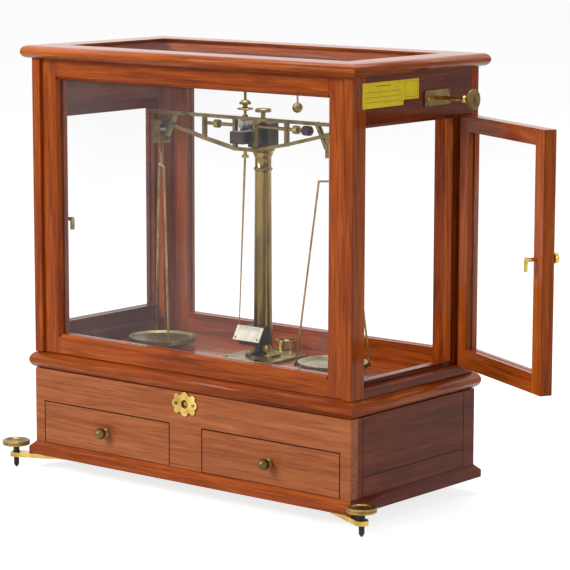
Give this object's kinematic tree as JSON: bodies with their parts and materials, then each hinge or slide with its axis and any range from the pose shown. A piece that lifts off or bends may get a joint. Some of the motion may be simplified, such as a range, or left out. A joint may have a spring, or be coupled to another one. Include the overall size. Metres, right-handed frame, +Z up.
{
  "type": "prescription balance",
  "caption": "Equal-arm apothecary's balance on a brass column in a glazed mahogany case with side doors, drawers and levelling screws.",
  "frame": {"origin": "centre of the rear foot's underside, on the table, the fixed point about which the balance is levelled", "axes": "+X to the right along the case's front, +Y from the front to the back, +Z up"},
  "size_m": [0.6377, 0.2482, 0.4685],
  "materials": {
    "mahogany": "polished reddish-brown mahogany with straight grain",
    "drawer_wood": "polished mahogany with a pinkish tone",
    "inner_wood": "unpolished wood",
    "glass": "clear window glass",
    "brass": "aged lacquered brass",
    "steel": "dull steel",
    "dark_metal": "blackened metal",
    "ivory": "smooth pale ivory and agate"
  },
  "bodies": {
    "case": {"base_board": "mahogany", "plinth_front": "mahogany", "plinth_walls": "mahogany", "drawer_guides": "inner_wood", "dust_board": "inner_wood", "deck_board": "mahogany", "corner_posts": "mahogany", "side_rails": "mahogany", "back_frame": "mahogany", "front_frame": "mahogany", "fixed_panes": "glass", "top_frame": "mahogany", "case_hinge_leaves": "brass", "hinge_pins": "steel", "escutcheon_plate": "brass", "screws": "brass", "arrest_bearing": "inner_wood", "levelling_arms": "brass", "rear_foot": "mahogany", "column_base_plate": "brass", "column": "brass", "bearing_head": "dark_metal", "agate_plane": "ivory", "scale_plate": "ivory", "scale_bracket": "dark_metal", "rider_plate": "brass", "level_cup": "brass", "level_glass": "glass"},
    "left_door": {"left_door_frame": "mahogany", "left_door_glass": "glass", "left_door_leaves": "brass"},
    "right_door": {"right_door_frame": "mahogany", "right_door_glass": "glass", "right_door_leaves": "brass"},
    "left_catch": {"left_catch": "brass"},
    "right_catch": {"right_catch": "brass"},
    "left_drawer": {"left_drawer": "drawer_wood", "left_drawer_knob": "brass"},
    "right_drawer": {"right_drawer": "drawer_wood", "right_drawer_knob": "brass"},
    "arrest_spindle": {"arrest_spindle": "steel"},
    "lift_rod": {"lift_rod": "steel"},
    "levelling_screw_left": {"levelling_screw_left": "brass"},
    "levelling_screw_right": {"levelling_screw_right": "brass"},
    "thumb_knob": {"thumb_knob": "dark_metal"},
    "beam": {"beam": "brass", "beam_knives": "steel", "adjusting_rod": "steel", "pointer": "brass"},
    "balance_nut_left": {"balance_nut_left": "brass"},
    "balance_nut_right": {"balance_nut_right": "brass"},
    "gravity_bob": {"gravity_bob": "brass"},
    "left_stirrup": {"left_stirrup": "dark_metal"},
    "right_stirrup": {"right_stirrup": "dark_metal"},
    "left_hanger": {"left_pan_bow": "brass", "left_pan": "brass"},
    "right_hanger": {"right_pan_bow": "brass", "right_pan": "brass"},
    "rider_rod": {"rider_rod": "brass"},
    "rider_arm": {"rider_arm": "brass"}
  },
  "joints": [
    {"name": "left_door_hinge", "type": "hinge", "parent": "case", "child": "left_door", "pos_m": [-0.2225, 0.01475, 0.277], "axis": [0, 0, 1], "range_deg": [-115, 0]},
    {"name": "right_door_hinge", "type": "hinge", "parent": "case", "child": "right_door", "pos_m": [0.2225, 0.01475, 0.277], "axis": [0, 0, 1], "range_deg": [-62.6, 50]},
    {"name": "left_catch_turn", "type": "hinge", "parent": "left_door", "child": "left_catch", "pos_m": [-0.2135, -0.15175, 0.277], "axis": [-1, 0, 0], "range_deg": [0, 90]},
    {"name": "right_catch_turn", "type": "hinge", "parent": "right_door", "child": "right_catch", "pos_m": [0.36618, -0.06986, 0.277], "axis": [-0.4602, -0.8878, 0], "range_deg": [0, 90]},
    {"name": "left_drawer_slide", "type": "slide", "parent": "case", "child": "left_drawer", "axis": [0, -1, 0], "range_m": [0, 0.13]},
    {"name": "right_drawer_slide", "type": "slide", "parent": "case", "child": "right_drawer", "axis": [0, -1, 0], "range_m": [0, 0.13]},
    {"name": "arrest_turn", "type": "hinge", "parent": "case", "child": "arrest_spindle", "pos_m": [0, -0.11, 0.101], "axis": [0, 1, 0], "range_deg": [0, 90]},
    {"name": "lift_travel", "type": "slide", "parent": "case", "child": "lift_rod", "axis": [0, 0, 1], "range_m": [-0.0021, 0]},
    {"name": "levelling_left_turn", "type": "hinge", "parent": "case", "child": "levelling_screw_left", "pos_m": [-0.242, -0.19705, 0.017], "axis": [0, 0, 1], "continuous": true},
    {"name": "levelling_right_turn", "type": "hinge", "parent": "case", "child": "levelling_screw_right", "pos_m": [0.242, -0.19705, 0.017], "axis": [0, 0, 1], "continuous": true},
    {"name": "thumb_knob_turn", "type": "hinge", "parent": "case", "child": "thumb_knob", "pos_m": [0, -0.059, 0.397], "axis": [0, 0, 1], "continuous": true},
    {"name": "beam_swing", "type": "hinge", "parent": "case", "child": "beam", "pos_m": [0, -0.089, 0.382], "axis": [0, 1, 0], "range_deg": [-3, 3]},
    {"name": "balance_nut_left_travel", "type": "slide", "parent": "beam", "child": "balance_nut_left", "axis": [1, 0, 0], "range_m": [-0.012, 0.018]},
    {"name": "balance_nut_right_travel", "type": "slide", "parent": "beam", "child": "balance_nut_right", "axis": [1, 0, 0], "range_m": [-0.007, 0.006]},
    {"name": "gravity_bob_travel", "type": "slide", "parent": "beam", "child": "gravity_bob", "axis": [0, 0, 1], "range_m": [-0.004, 0.006]},
    {"name": "left_stirrup_swing", "type": "hinge", "parent": "beam", "child": "left_stirrup", "pos_m": [-0.12, -0.089, 0.382], "axis": [0, 1, 0], "range_deg": [-3, 3]},
    {"name": "right_stirrup_swing", "type": "hinge", "parent": "beam", "child": "right_stirrup", "pos_m": [0.12, -0.089, 0.382], "axis": [0, 1, 0], "range_deg": [-3, 3]},
    {"name": "left_pan_turn", "type": "hinge", "parent": "left_stirrup", "child": "left_hanger", "pos_m": [-0.12, -0.089, 0.354], "axis": [0, 0, 1], "range_deg": [-40, 40]},
    {"name": "right_pan_turn", "type": "hinge", "parent": "right_stirrup", "child": "right_hanger", "pos_m": [0.12, -0.089, 0.354], "axis": [0, 0, 1], "range_deg": [-40, 40]},
    {"name": "rider_slide", "type": "slide", "parent": "case", "child": "rider_rod", "axis": [1, 0, 0], "range_m": [-0.025, 0.1]},
    {"name": "rider_turn", "type": "hinge", "parent": "rider_rod", "child": "rider_arm", "pos_m": [0.038, -0.0476, 0.427], "axis": [1, 0, 0], "range_deg": [-90, 90]}
  ],
  "couplings": [
    {"joint": "lift_travel", "follows": "arrest_turn", "m_per_rad": -0.0012732},
    {"joint": "left_stirrup_swing", "follows": "beam_swing", "ratio": -1},
    {"joint": "right_stirrup_swing", "follows": "beam_swing", "ratio": -1}
  ]
}
